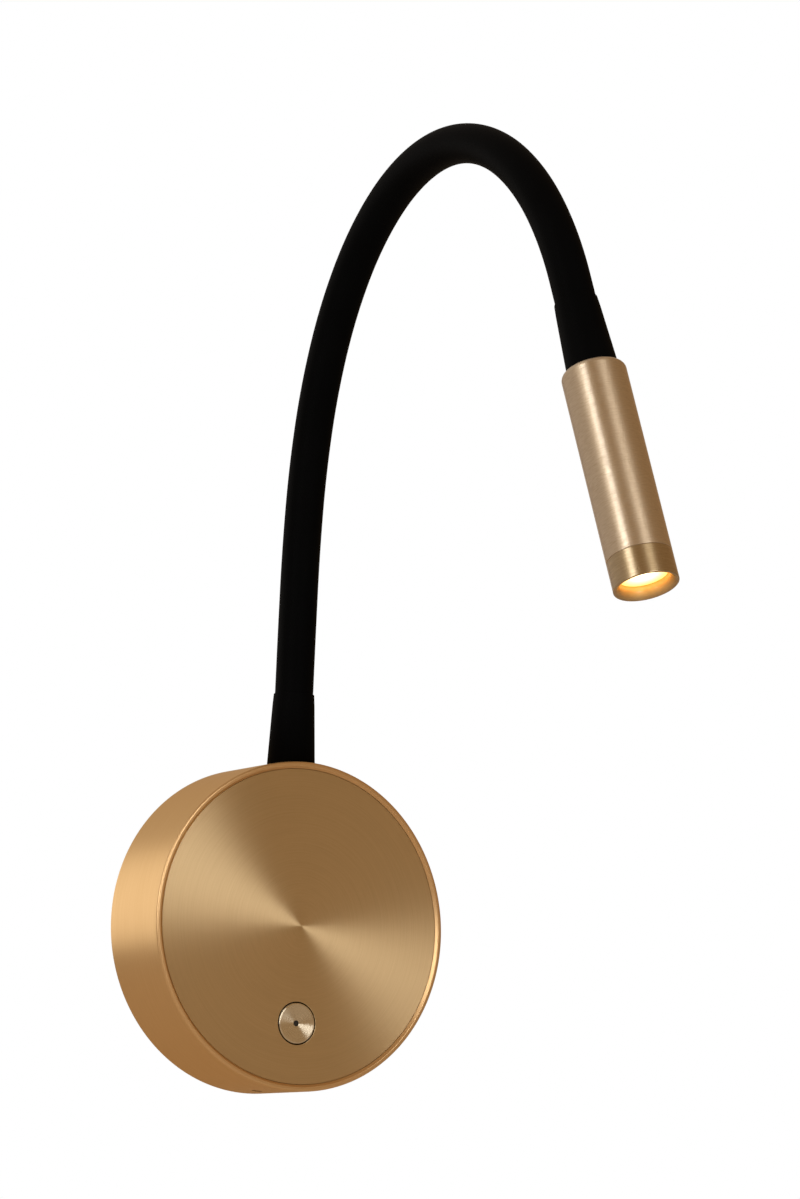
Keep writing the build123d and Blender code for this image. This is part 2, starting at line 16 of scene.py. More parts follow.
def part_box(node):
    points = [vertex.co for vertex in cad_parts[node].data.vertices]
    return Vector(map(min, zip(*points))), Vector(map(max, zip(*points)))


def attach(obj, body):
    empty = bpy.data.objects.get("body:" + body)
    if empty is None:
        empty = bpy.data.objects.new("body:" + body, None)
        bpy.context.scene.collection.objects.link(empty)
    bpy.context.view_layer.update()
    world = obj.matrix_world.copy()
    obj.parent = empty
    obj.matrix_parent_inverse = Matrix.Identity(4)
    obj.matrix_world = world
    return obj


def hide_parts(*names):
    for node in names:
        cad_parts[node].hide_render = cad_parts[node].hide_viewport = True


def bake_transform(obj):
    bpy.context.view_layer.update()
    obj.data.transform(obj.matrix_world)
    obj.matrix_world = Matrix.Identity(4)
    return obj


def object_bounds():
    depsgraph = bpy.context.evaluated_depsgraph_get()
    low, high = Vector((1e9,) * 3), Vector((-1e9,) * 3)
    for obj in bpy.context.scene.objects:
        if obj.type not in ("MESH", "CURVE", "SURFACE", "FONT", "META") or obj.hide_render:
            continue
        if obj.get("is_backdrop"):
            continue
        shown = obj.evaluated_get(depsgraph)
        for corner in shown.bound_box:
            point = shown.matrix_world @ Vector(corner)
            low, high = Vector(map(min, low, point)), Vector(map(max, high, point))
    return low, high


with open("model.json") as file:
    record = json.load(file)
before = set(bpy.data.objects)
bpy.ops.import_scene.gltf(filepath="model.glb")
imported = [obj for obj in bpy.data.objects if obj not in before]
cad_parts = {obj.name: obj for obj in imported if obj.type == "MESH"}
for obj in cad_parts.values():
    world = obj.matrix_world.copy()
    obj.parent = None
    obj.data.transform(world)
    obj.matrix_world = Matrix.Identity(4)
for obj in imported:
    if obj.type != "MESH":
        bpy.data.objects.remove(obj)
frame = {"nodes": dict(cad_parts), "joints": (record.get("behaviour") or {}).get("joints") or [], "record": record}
cad_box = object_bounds()
MM = 0.001
scene = bpy.context.scene

# %% [markdown]
# ## The camera
# The photograph looks up at the lamp from the lower left through a long lens, so the base shows its left
# side and the head shows its mouth. A camera can be set by eye or solved from known shapes. Here its
# bearing, height, roll and distance were solved from the rims of the base and the line of the neck, and
# they stay plain numbers.

# %% Place the camera
photo_long_side_px = 1199
focal_length_px = 4089.15
sensor_mm = 36.0
azimuth, elevation, roll = np.radians([-31.3027, -9.7198, 2.3515])
distance, aim_right, aim_up = 1.264030, 0.045041, 0.102450

back = np.array([
    np.sin(azimuth) * np.cos(elevation), -np.cos(azimuth) * np.cos(elevation), np.sin(elevation),
])
level = np.array([np.cos(azimuth), np.sin(azimuth), 0.0])
upright = np.cross(back, level)
right = np.cos(roll) * level + np.sin(roll) * upright
up = np.cos(roll) * upright - np.sin(roll) * level
place = aim_right * right + aim_up * up + distance * back

camera_data = bpy.data.cameras.new("photo_camera")
camera_data.sensor_width = sensor_mm
camera_data.lens = focal_length_px * sensor_mm / photo_long_side_px
camera = bpy.data.objects.new("photo_camera", camera_data)
camera.matrix_world = Matrix(np.vstack([np.stack([right, up, back, place], axis=1), [0, 0, 0, 1]]).tolist())
scene.collection.objects.link(camera)
scene.camera = camera
print("lens", round(camera_data.lens, 1), "mm, camera at", place.round(3))

# %% [markdown]
# ## Nodes and colours
# Every finish below is a small network of shader nodes. One helper adds a node, applies its settings and
# fills its sockets, either with a plain value or with a link from another node. Colours are written the way
# a paint program shows them, as sRGB hex values, and one function turns them into the linear values a
# renderer adds up.

# %% Helpers for nodes and colours
def add(tree, kind, inputs=None, **settings):
    """Adds one node, applies its settings, then sets each socket to a value or links it to another socket."""
    node = tree.nodes.new(kind)
    for name, value in settings.items():
        setattr(node, name, value)
    for socket, value in (inputs or {}).items():
        if isinstance(value, bpy.types.NodeSocket):
            tree.links.new(value, node.inputs[socket])
        else:
            node.inputs[socket].default_value = value
    return node


def linear(hex_colour):
    """Linear RGBA of an sRGB hex value: a straight line near black, a power of 2.4 above it."""
    value = np.array([int(hex_colour[i:i + 2], 16) for i in (1, 3, 5)]) / 255
    curve = np.where(value <= 0.04045, value / 12.92, ((value + 0.055) / 1.055) ** 2.4)
    return (*curve.tolist(), 1.0)


def new_material(name):
    """An empty material and its node tree."""
    material = bpy.data.materials.new(name)
    material.use_nodes = True
    material.node_tree.nodes.clear()
    return material, material.node_tree


print("brass in linear values:", np.round(linear("#D2AE7E"), 3))

# %% [markdown]
# ## The studio
# A brushed metal has no look of its own: it shows the room. The photograph's room is a white backdrop
# behind the lamp, a dim warm space in front of it, and three soft boxes: one in front, one close by on the
# left, and one that lights the backdrop's left side. The world plays backdrop and room: it is white
# wherever the camera sees it, paler behind the lamp for reflections, warm and dim elsewhere for them, and
# an even fill for all the rest.

# %% Backdrop and fill
scene.view_settings.view_transform = "Standard"
room_fill = 0.40
room_level = 0.36
room_tint = "#FFCF98"
backdrop_heading = Vector((-0.30, 0.84, 0.45)).normalized()
backdrop_edge, backdrop_level = 0.30, 0.44
white = (1, 1, 1, 1)
world = bpy.data.worlds.new("studio")
world.use_nodes = True
scene.world = world
sky = world.node_tree
sky.nodes.clear()
ray = add(sky, "ShaderNodeLightPath")
toward = add(sky, "ShaderNodeVectorMath", {
    0: add(sky, "ShaderNodeTexCoord").outputs["Generated"], 1: backdrop_heading,
}, operation="DOT_PRODUCT")
backdrop = add(sky, "ShaderNodeMapRange", {
    "Value": toward.outputs["Value"], "From Min": backdrop_edge, "From Max": 1.0, "To Max": backdrop_level,
})
room = np.array(linear(room_tint)) * room_level
reflected = add(sky, "ShaderNodeMix", {0: backdrop.outputs[0], 6: room, 7: white}, data_type="RGBA")
lighting = add(sky, "ShaderNodeMix", {
    0: ray.outputs["Is Glossy Ray"], 6: (room_fill, room_fill, room_fill, 1), 7: reflected.outputs[2],
}, data_type="RGBA")
seen = add(sky, "ShaderNodeMath", {
    0: ray.outputs["Is Camera Ray"], 1: ray.outputs["Is Transmission Ray"],
}, operation="MAXIMUM")
shown = add(sky, "ShaderNodeMix", {0: seen.outputs[0], 6: lighting.outputs[2], 7: white}, data_type="RGBA")
background = add(sky, "ShaderNodeBackground", {"Color": shown.outputs[2], "Strength": 1.0})
add(sky, "ShaderNodeOutputWorld", {"Surface": background.outputs[0]})
print("world fill", room_fill, "room in front", room[:3].round(2))


# %% Soft boxes
def softbox(name, azimuth_deg, elevation_deg, width, height, watts, reach=1.1):
    """Rectangular lamp on a sphere round the object, turned to face its middle."""
    middle = (cad_box[0] + cad_box[1]) / 2
    turn, lift = np.radians([azimuth_deg, elevation_deg])
    outward = Vector((np.sin(turn) * np.cos(lift), -np.cos(turn) * np.cos(lift), np.sin(lift)))
    data = bpy.data.lights.new(name, "AREA")
    data.shape = "RECTANGLE"
    data.size, data.size_y = width, height
    data.energy = watts
    lamp = bpy.data.objects.new(name, data)
    lamp.location = middle + outward * reach
    lamp.rotation_euler = outward.to_track_quat("Z", "Y").to_euler()
    lamp.visible_camera = False
    scene.collection.objects.link(lamp)
    print(name, "at", tuple(round(c, 2) for c in lamp.location))
    return lamp


softbox("softbox_left", azimuth_deg=-70, elevation_deg=12, width=0.16, height=0.50, watts=1.02, reach=0.55)
softbox("softbox_front", azimuth_deg=-3, elevation_deg=16, width=0.40, height=0.62, watts=3.2)
back_light = softbox("softbox_back", azimuth_deg=-143, elevation_deg=6, width=0.78, height=0.64, watts=1.25)

# %% [markdown]
# The floor lies well below the lamp, out of the photograph's view. It is there for the other views, where
# it takes the soft shadow. Seamless paper is matt, with a faint mottle, so a rough diffuse surface does.
# Reflections show it in a warm tint, like the rest of the room, and the camera sees it paler by an even
# glow that lights nothing.

# %% Floor
floor_drop = 0.20
floor_half = 4.0
floor_glow = 0.40
mottle_mm = 8.0
warm_paper = "#EACFB3"
paper, tree = new_material("seamless_paper")
mottle = add(tree, "ShaderNodeTexNoise", {
    "Vector": add(tree, "ShaderNodeTexCoord").outputs["Object"], "Scale": 1 / (mottle_mm * MM), "Detail": 2.0,
})
tint = add(tree, "ShaderNodeMix", {
    0: mottle.outputs[0], 6: linear("#F4F4F2"), 7: linear("#F0F0EE"),
}, data_type="RGBA")
ray = add(tree, "ShaderNodeLightPath")
tint = add(tree, "ShaderNodeMix", {
    0: ray.outputs["Is Glossy Ray"], 6: tint.outputs[2], 7: linear(warm_paper),
}, data_type="RGBA")
glow = add(tree, "ShaderNodeMath", {0: ray.outputs["Is Camera Ray"], 1: floor_glow}, operation="MULTIPLY")
glow = add(tree, "ShaderNodeEmission", {"Color": white, "Strength": glow.outputs[0]})
shader = add(tree, "ShaderNodeBsdfDiffuse", {"Color": tint.outputs[2], "Roughness": 0.5})
shader = add(tree, "ShaderNodeAddShader", {0: shader.outputs[0], 1: glow.outputs[0]})
add(tree, "ShaderNodeOutputMaterial", {"Surface": shader.outputs[0]})
floor_z = cad_box[0].z - floor_drop
corners = np.array([[-1, -1], [1, -1], [1, 1], [-1, 1]]) * floor_half
floor_mesh = bpy.data.meshes.new("studio_floor")
floor_mesh.from_pydata(np.column_stack([corners, np.full(4, floor_z)]).tolist(), [], [(0, 1, 2, 3)])
floor_mesh.materials.append(paper)
floor = bpy.data.objects.new("studio_floor", floor_mesh)
scene.collection.objects.link(floor)
floor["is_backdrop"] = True
print("floor at z =", round(floor_z, 3))

# %% [markdown]
# ## The neck's line
# The neck is straight where it leaves the base and where it enters the head, and between those ends every
# stretch is an arc that leaves a hinge along one heading and arrives at the next along another. The frame
# gives the hinges. The headings follow from them, because an arc's chord halves the angle between its two
# headings, so each heading is the last one mirrored in the chord.

# %% Marks and headings along the neck
hinges = [joint for joint in frame["joints"] if joint["name"].startswith("neck_")]
exit_depth = -hinges[0]["pos_m"][1]
base_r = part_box("base_shell")[1].x
start = np.array([0.0, -exit_depth, base_r])
marks = np.vstack([start] + [joint["pos_m"] for joint in hinges])
end_run = np.linalg.norm(marks[1] - marks[0])
headings = [np.array([0.0, 0.0, 1.0])]
for chord in np.diff(marks, axis=0):
    chord = chord / np.linalg.norm(chord)
    headings.append(2 * chord.dot(headings[-1]) * chord - headings[-1])
headings = np.array(headings + [headings[-1]])
marks = np.vstack([marks, marks[-1] + headings[-1] * end_run])
head_top, head_axis = marks[-1], headings[-1]
print(len(hinges), "hinges, head top at", (head_top / MM).round(2), "axis", head_axis.round(3))


# %% A point at any run along the neck
nearly_straight = 1e-4


def stretch_lengths():
    """Length of each stretch: its chord, times the half angle over its sine. Where the stretch is straight,
    that factor is one."""
    chords = np.linalg.norm(np.diff(marks, axis=0), axis=1)
    half = np.arccos(np.clip((headings[:-1] * headings[1:]).sum(1), -1, 1)) / 2
    bent = np.maximum(half, nearly_straight)
    return chords * np.where(half > nearly_straight, bent / np.sin(bent), 1.0)


lengths = stretch_lengths()
runs = np.concatenate([[0.0], np.cumsum(lengths)])


def along_neck(run):
    """Points and headings at runs along the neck. Within a stretch the heading turns evenly from its first to
    its last value, so the point is the arc's radius times sine along the first heading and times one minus
    cosine across it. Runs before the start or past the end carry on straight."""
    k = np.clip(np.searchsorted(runs, run, side="right") - 1, 0, len(lengths) - 1)
    first, last = headings[k], headings[k + 1]
    angle = np.arccos(np.clip((first * last).sum(1), -1, 1))[:, None]
    sideways = last - (first * last).sum(1)[:, None] * first
    sideways = sideways / np.maximum(np.linalg.norm(sideways, axis=1)[:, None], nearly_straight)
    share = ((run - runs[k]) / lengths[k])[:, None]
    radius = lengths[k][:, None] / np.maximum(angle, nearly_straight)
    turn = angle * share
    straight = angle < nearly_straight
    ahead = np.where(straight, lengths[k][:, None] * share, radius * np.sin(turn))
    points = marks[k] + ahead * first + np.where(straight, 0, radius * (1 - np.cos(turn))) * sideways
    return points, np.cos(turn) * first + np.sin(turn) * sideways


neck_run = runs[-1]
print("neck length", round(neck_run / MM, 1), "mm")


# %% [markdown]
# ## Surfaces from arrays
# Two kinds of shape make up all that shows: turned pieces, whose outline goes round an axis, and tubes
# along the neck. Both are grids of points, worked out as whole arrays. Metal shows every wrong normal as a
# dent, so the normals are worked out with the points and stored in the mesh instead of being averaged from
# its faces.

# %% Mesh from arrays
def fill_mesh(name, points, faces, corner_normals, material):
    """Mesh object from point, face and face-corner normal arrays."""
    mesh = bpy.data.meshes.new(name)
    mesh.from_pydata(points.tolist(), [], [face for group in faces for face in group.tolist()])
    mesh.polygons.foreach_set("use_smooth", np.ones(len(mesh.polygons), bool))
    mesh.normals_split_custom_set(np.concatenate(corner_normals).tolist())
    mesh.materials.append(material)
    piece = bpy.data.objects.new(name, mesh)
    scene.collection.objects.link(piece)
    print(name, len(points), "points", len(mesh.polygons), "faces")
    return piece


def grid_quads(rows, columns, close_rows):
    """Quads of a grid whose columns go round, and whose last row joins the first if close_rows is set."""
    i, j = np.meshgrid(np.arange(rows if close_rows else rows - 1), np.arange(columns), indexing="ij")
    below, beside = (i + 1) % rows, (j + 1) % columns
    row, next_row = i * columns, below * columns
    return np.stack([row + j, row + beside, next_row + beside, next_row + j], -1)


# %% Outline with rounded corners
def rounded_outline(corners, roundings, closed=True, steps=8):
    """Outline of (radius, height) corners in mm, counter-clockwise, each replaced by an arc of its rounding.
    The arc starts and ends rounding times tan(half the turn) from the corner, and its normal turns evenly
    from the one side's to the other's. An open outline keeps its first and last corner, which lie on the
    axis."""
    corners = np.array(corners, float)
    side = np.roll(corners, -1, axis=0) - corners
    side = side / np.linalg.norm(side, axis=1)[:, None]
    before = np.roll(side, 1, axis=0)
    turn = np.arctan2(before[:, 0] * side[:, 1] - before[:, 1] * side[:, 0], (before * side).sum(1))
    radius = np.array(roundings, float)[:, None, None]
    normal = np.stack([before[:, 1], -before[:, 0]], 1)
    angle = turn[:, None] * np.linspace(0, 1, steps)
    swung = np.stack([
        normal[:, :1] * np.cos(angle) - normal[:, 1:] * np.sin(angle),
        normal[:, :1] * np.sin(angle) + normal[:, 1:] * np.cos(angle),
    ], -1)
    sign = np.sign(turn)[:, None, None]
    arc_start = corners - before * radius[:, 0] * np.tan(np.abs(turn) / 2)[:, None]
    points = arc_start[:, None] + sign * radius * (swung - normal[:, None])
    if closed:
        return points.reshape(-1, 2), swung.reshape(-1, 2)
    ends = np.array([[0, -1.0], [0, 1.0]]) * np.sign(corners[1, 0] * side[0, 0])
    points = np.vstack([corners[:1], points[1:-1].reshape(-1, 2), corners[-1:]])
    return points, np.vstack([ends[:1], swung[1:-1].reshape(-1, 2), ends[1:]])


# %% Turned piece
def around(axis):
    """Two unit vectors square to an axis and to each other; the first lies as near to +X as it can."""
    side = np.array([1.0, 0, 0]) - axis[0] * axis
    side = side / np.linalg.norm(side)
    return side, np.cross(axis, side)


def ring_points(origin, axis, outline, normals, sides, shift=None):
    """Grid of points and normals: each outline point (radius, height) goes round the axis at its height. A
    shift moves a ring's centre sideways, which lets one piece hold an edge and a hole off its middle."""
    side, across = around(axis)
    angle = np.linspace(0, 2 * np.pi, sides, endpoint=False)
    spokes = np.cos(angle)[:, None] * side + np.sin(angle)[:, None] * across
    centres = origin + outline[:, 1:] * MM * axis
    if shift is not None:
        centres = centres + shift * MM
    points = centres[:, None] + outline[:, :1, None] * MM * spokes
    return points, normals[:, :1, None] * spokes + normals[:, 1:, None] * axis


def turned(name, origin, axis, outline, normals, material, sides=192, shift=None):
    """Piece made by an outline that goes round an axis. An outline that starts and ends on the axis is closed
    there by a point and a fan of triangles."""
    points, directions = ring_points(origin, axis, outline, normals, sides, shift)
    if outline[0, 0] > 0:
        quads = grid_quads(len(outline), sides, close_rows=True).reshape(-1, 4)
        flat = directions.reshape(-1, 3)
        return fill_mesh(name, points.reshape(-1, 3), [quads], [flat[quads].reshape(-1, 3)], material)
    rings = len(outline) - 2
    body, flat = points[1:-1].reshape(-1, 3), directions[1:-1].reshape(-1, 3)
    quads = grid_quads(rings, sides, close_rows=False).reshape(-1, 4)
    j = np.arange(sides)
    beside = (j + 1) % sides
    last = (rings - 1) * sides
    first_fan = np.stack([np.full(sides, len(body)), beside, j], 1)
    last_fan = np.stack([np.full(sides, len(body) + 1), last + j, last + beside], 1)
    body = np.vstack([body, points[0, 0], points[-1, 0]])
    flat = np.vstack([flat, directions[0, 0], directions[-1, 0]])
    faces = [quads, first_fan, last_fan]
    return fill_mesh(name, body, faces, [flat[group].reshape(-1, 3) for group in faces], material)


# %% [markdown]
# ## Brushed brass
# Brass is a metal, so all its colour is in its reflection. The base, the disc, the button and the head were
# all turned or brushed round an axis, which leaves fine grooves round that axis. Grooves scatter light
# across themselves: on a flat disc that spreads the highlight into wedges from the middle, and on a tube
# into streaks along it. The shader's anisotropy does this, given the direction of the grooves, and a
# stretched noise draws the grooves that are wide enough to see.

# %% Brushed metal
edge_tint = "#F2DDBE"
# Painted shade: the dark brown that the sides of the disc and the button take, as the gap round them looks in
# shade.
gap_shade = "#2E1E0C"
bare_bore = "#F0D28C"
edge_blur_mm, bore_fade_mm = 0.1, 1.7
matt_roughness, lacquer_roughness = 0.62, 0.18
handling_mm, handling_swing = 30.0, 0.06


def brushed_metal(name, bright, dull, centre, axis, girth_mm, line_mm, streak_mm, groove_mm, roughness, swing,
                  anisotropy, lacquer=0.0, shade_below_mm=-100.0, matt_within_mm=-1.0):
    """Metal brushed round an axis. The groove pattern is a noise read at (unit spoke times girth over streak
    length, distance along and out from the axis over line width), so it changes fast across the grooves and
    slowly along them. The grooves run along axis cross spoke. A clear lacquer over them keeps its highlights
    white. Below a height the colour turns dark brown, a painted shade for the gap round the piece. Within a
    radius the metal is blasted matt, and its colour fades there from the outside's to the bare bore's. The
    roughness also drifts with handling."""
    material, tree = new_material(name)
    axis = Vector(axis)
    place = add(tree, "ShaderNodeTexCoord").outputs["Object"]
    offset = add(tree, "ShaderNodeVectorMath", {0: place, 1: Vector(centre)}, operation="SUBTRACT").outputs[0]
    height = add(tree, "ShaderNodeVectorMath", {0: offset, 1: axis}, operation="DOT_PRODUCT").outputs["Value"]
    upward = add(tree, "ShaderNodeVectorMath", {0: axis, "Scale": height}, operation="SCALE").outputs[0]
    spoke = add(tree, "ShaderNodeVectorMath", {0: offset, 1: upward}, operation="SUBTRACT").outputs[0]
    radius = add(tree, "ShaderNodeVectorMath", {0: spoke}, operation="LENGTH").outputs["Value"]
    unit = add(tree, "ShaderNodeVectorMath", {0: spoke}, operation="NORMALIZE").outputs[0]
    groove = add(tree, "ShaderNodeVectorMath", {0: axis, 1: unit}, operation="CROSS_PRODUCT").outputs[0]
    tangent = add(tree, "ShaderNodeVectorTransform", {0: groove},
                  vector_type="VECTOR", convert_from="OBJECT", convert_to="WORLD").outputs[0]

    across = add(tree, "ShaderNodeMath", {0: height, 1: radius}, operation="ADD").outputs[0]
    across = add(tree, "ShaderNodeMath", {0: across, 1: 1 / (line_mm * MM)}, operation="MULTIPLY").outputs[0]
    slow = add(tree, "ShaderNodeVectorMath", {
        0: unit, "Scale": girth_mm / streak_mm,
    }, operation="SCALE").outputs[0]
    fast = add(tree, "ShaderNodeVectorMath", {0: axis, "Scale": across}, operation="SCALE").outputs[0]
    pattern = add(tree, "ShaderNodeVectorMath", {0: slow, 1: fast}, operation="ADD").outputs[0]
    lines = add(tree, "ShaderNodeTexNoise", {
        "Vector": pattern, "Scale": 1.0, "Detail": 3.0, "Roughness": 0.6,
    })
    handling = add(tree, "ShaderNodeTexNoise", {
        "Vector": place, "Scale": 1 / (handling_mm * MM), "Detail": 2.0,
    })

    colour = add(tree, "ShaderNodeMix", {
        0: lines.outputs[0], 6: linear(dull), 7: linear(bright),
    }, data_type="RGBA")
    # Painted shade: below a height the colour goes to that dark brown, standing in for the shade in the gap.
    above_gap_shade = add(tree, "ShaderNodeMapRange", {
        "Value": height, "From Min": (shade_below_mm - edge_blur_mm) * MM, "From Max": shade_below_mm * MM,
    })
    colour = add(tree, "ShaderNodeMix", {
        0: above_gap_shade.outputs[0], 6: linear(gap_shade), 7: colour.outputs[2],
    }, data_type="RGBA")
    coated = add(tree, "ShaderNodeMapRange", {
        "Value": radius, "From Min": (matt_within_mm - bore_fade_mm) * MM, "From Max": matt_within_mm * MM,
    })
    colour = add(tree, "ShaderNodeMix", {
        0: coated.outputs[0], 6: linear(bare_bore), 7: colour.outputs[2],
    }, data_type="RGBA")
    rough = add(tree, "ShaderNodeMapRange", {
        "Value": lines.outputs[0], "From Min": 0.3, "From Max": 0.7,
        "To Min": roughness + swing, "To Max": roughness - swing,
    })
    rough = add(tree, "ShaderNodeMath", {
        0: handling.outputs[0], 1: handling_swing, 2: rough.outputs[0],
    }, operation="MULTIPLY_ADD")
    rough = add(tree, "ShaderNodeMapRange", {
        "Value": radius, "From Min": (matt_within_mm - edge_blur_mm) * MM, "From Max": matt_within_mm * MM,
        "To Min": matt_roughness, "To Max": rough.outputs[0],
    })
    bump = add(tree, "ShaderNodeBump", {"Height": lines.outputs[0], "Distance": groove_mm * MM})
    shader = add(tree, "ShaderNodeBsdfPrincipled", {
        "Base Color": colour.outputs[2], "Metallic": 1.0, "Roughness": rough.outputs[0],
        "Specular Tint": linear(edge_tint), "Anisotropic": anisotropy, "Anisotropic Rotation": 0.25,
        "Tangent": tangent, "Normal": bump.outputs[0],
        "Coat Weight": lacquer, "Coat Roughness": lacquer_roughness,
    })
    add(tree, "ShaderNodeOutputMaterial", {"Surface": shader.outputs[0]})
    print("finish", name)
    return material


# %% The five brushed finishes
out_of_wall = np.array([0.0, -1.0, 0.0])
wall_centre = np.zeros(3)
disc_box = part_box("face_disc")
button_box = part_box("button_cap")
button_centre = np.array([0.0, 0.0, (button_box[0].z + button_box[1].z) / 2])
disc_front, button_front = -disc_box[0].y / MM, -button_box[0].y / MM
# Depths behind the disc's and the button's fronts from which their sides get painted shade, and the matt mouth's
# radius.
disc_shade_depth, button_shade_depth, matt_mouth_r = 0.25, 0.60, 8.85
# Real grooves are a twentieth of a millimetre wide, too fine to show, so line_mm is several times that.

# The shell: spun, then brushed so finely that the grooves melt into a satin with broad, soft highlights.
satin_brass = brushed_metal(
    "satin_brass", "#E2C090", "#DBB886", wall_centre, out_of_wall,
    girth_mm=50, line_mm=0.5, streak_mm=18, groove_mm=0.0008, roughness=0.34, swing=0.03, anisotropy=0.25)
# The disc: brushed on a turntable. Its rings throw two wedges of light; its sides get painted shade.
brushed_brass = brushed_metal(
    "brushed_brass", "#DCC59C", "#D0B98F", wall_centre, out_of_wall,
    girth_mm=25, line_mm=0.35, streak_mm=14, groove_mm=0.0016, roughness=0.38, swing=0.05, anisotropy=0.90,
    shade_below_mm=disc_front - disc_shade_depth)
# The head: turned, brushed with a coarse pad, then lacquered. Short scratches break up its two streaks.
turned_brass = brushed_metal(
    "turned_brass", "#D6C8B0", "#BCA98E", head_top, head_axis,
    girth_mm=9.3, line_mm=0.22, streak_mm=2.2, groove_mm=0.004, roughness=0.42, swing=0.16, anisotropy=0.60,
    lacquer=1.0)
# The bezel: cut finer on the lathe, so its streaks are harder. Its mouth is blasted matt and bare inside.
fine_turned_brass = brushed_metal(
    "fine_turned_brass", "#C2B08C", "#9A8360", head_top, head_axis,
    girth_mm=9.3, line_mm=0.3, streak_mm=4, groove_mm=0.003, roughness=0.34, swing=0.10, anisotropy=0.60,
    lacquer=1.0, matt_within_mm=matt_mouth_r)
# The button: a paler alloy with rings too fine to see, which leave one sharp wedge on its shallow cone.
# Its sides below the face get painted shade, dark as the gap round it.
champagne_metal = brushed_metal(
    "champagne_metal", "#E2DAC6", "#DCD2BA", button_centre, out_of_wall,
    girth_mm=6, line_mm=0.3, streak_mm=9, groove_mm=0.00003, roughness=0.25, swing=0.01, anisotropy=0.96,
    shade_below_mm=button_front - button_shade_depth)

# %% [markdown]
# ## Rubber
# The sleeve and the two boots are matt black rubber, moulded and drawn. Such rubber throws back very little
# light and has no clear highlight, only a faint sheen where the surface turns away, so its base colour is
# nearly black, its specular level low and its roughness high. A grain of a few tenths of a millimetre keeps
# it from looking like paint, and a little dust drifts over it.

# %% Black rubber
black_rubber, tree = new_material("black_rubber")
place = add(tree, "ShaderNodeTexCoord").outputs["Object"]
# The mould's grain is finer than half a millimetre, and is drawn as coarse as it needs to show.
grain_mm, grain_depth_mm, dust_mm = 0.5, 0.02, 12.0
grain = add(tree, "ShaderNodeTexNoise", {"Vector": place, "Scale": 1 / (grain_mm * MM), "Detail": 3.0})
dust = add(tree, "ShaderNodeTexNoise", {"Vector": place, "Scale": 1 / (dust_mm * MM), "Detail": 3.0})
tint = add(tree, "ShaderNodeMix", {
    0: dust.outputs[0], 6: linear("#030303"), 7: linear("#060606"),
}, data_type="RGBA")
rough = add(tree, "ShaderNodeMapRange", {"Value": grain.outputs[0], "To Min": 0.50, "To Max": 0.66})
bump = add(tree, "ShaderNodeBump", {"Height": grain.outputs[0], "Distance": grain_depth_mm * MM})
shader = add(tree, "ShaderNodeBsdfPrincipled", {
    "Base Color": tint.outputs[2], "Roughness": rough.outputs[0], "Specular IOR Level": 0.02,
    "Normal": bump.outputs[0],
})
add(tree, "ShaderNodeOutputMaterial", {"Surface": shader.outputs[0]})
print("finish", black_rubber.name)


# %% [markdown]
# ## The base shell
# The shell is a deep cup, spun from brass sheet and brushed: a wall, a rounded lip, and inside the lip a
# seat for the disc. It is a turned piece with two holes through its wall, one for the neck and a small one
# below for the set screw. A boolean would leave long thin faces that show in the metal, so each hole is a
# window left out of the grid and filled with rings that change from the window's edge to the hole's.

# %% Wall with a round hole
def window_border(columns, rows):
    """Column and row numbers of a window's edge, once round it counter-clockwise."""
    right, top = columns - 1, rows - 1
    column = [np.arange(right), np.full(top, right), np.arange(right, 0, -1), np.zeros(top, int)]
    row = [np.zeros(right, int), np.arange(top), np.full(right, top), np.arange(top, 0, -1)]
    return np.concatenate(column), np.concatenate(row)


def wall_patch(origin, axis, wall_r, hole, border, border_index, first, rings=5):
    """Rings of points on a round wall, from a hole's edge out to a window's edge, both as (angle, height)
    from the hole's middle. The hole's edge is a circle seen along its own axis, so its angle is the arcsine
    of its sideways reach over the wall's radius."""
    hole_angle, hole_height, hole_r = hole
    bearing = np.arctan2(border[:, 1], border[:, 0] * base_r / MM)
    circle = np.stack([np.arcsin(hole_r * np.cos(bearing) / wall_r), hole_r * np.sin(bearing)], 1)
    share = np.linspace(0, 1, rings + 1)[:rings, None, None]
    patch = (1 - share) * circle + share * border
    side, across = around(axis)
    angle = patch[..., :1] + hole_angle
    spokes = (np.cos(angle) * side + np.sin(angle) * across).reshape(-1, 3)
    points = origin + wall_r * MM * spokes + (patch[..., 1:] + hole_height).reshape(-1, 1) * MM * axis
    index = np.vstack([first + np.arange(points.shape[0]).reshape(rings, -1), border_index])
    beside = np.roll(index, -1, axis=1)
    quads = np.stack([index[:-1], index[1:], beside[1:], beside[:-1]], -1).reshape(-1, 4)
    return points, spokes, quads, index[0], bearing


# %% Base shell
base_depth = -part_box("base_shell")[0].y / MM
disc_r, disc_seat = disc_box[1].x / MM, -disc_box[1].y / MM
shell_wall, lip_round, disc_gap, ledge_width, ledge_t = 1.5, 0.8, 0.1, 3.5, 1.5
lip_bevel, bevel_round = 0.75, 0.35
outer_r = base_r / MM
inner_r, lip_r = outer_r - shell_wall, disc_r + disc_gap
ledge_r, ledge_back = lip_r - ledge_width, disc_seat - ledge_t
shell_corners = [
    (inner_r, 0), (outer_r, 0), (outer_r, base_depth), (lip_r + lip_bevel, base_depth), (lip_r, disc_front),
    (lip_r, disc_seat), (ledge_r, disc_seat), (ledge_r, ledge_back), (inner_r, ledge_back),
]
shell_roundings = [0.10, 0.15, lip_round, bevel_round, 0.10, 0.05, 0.10, 0.10, 0.10]
outline, normals = rounded_outline(shell_corners, shell_roundings)
row_step = 1.0
heights = np.arange(row_step / 2, ledge_back - row_step / 2, row_step)
arc = len(outline) // len(shell_corners)
walls = [
    np.column_stack([np.full(len(heights), r), h]) for r, h in ((outer_r, heights), (inner_r, heights[::-1]))
]
outline = np.vstack([outline[:2 * arc], walls[0], outline[2 * arc:], walls[1]])
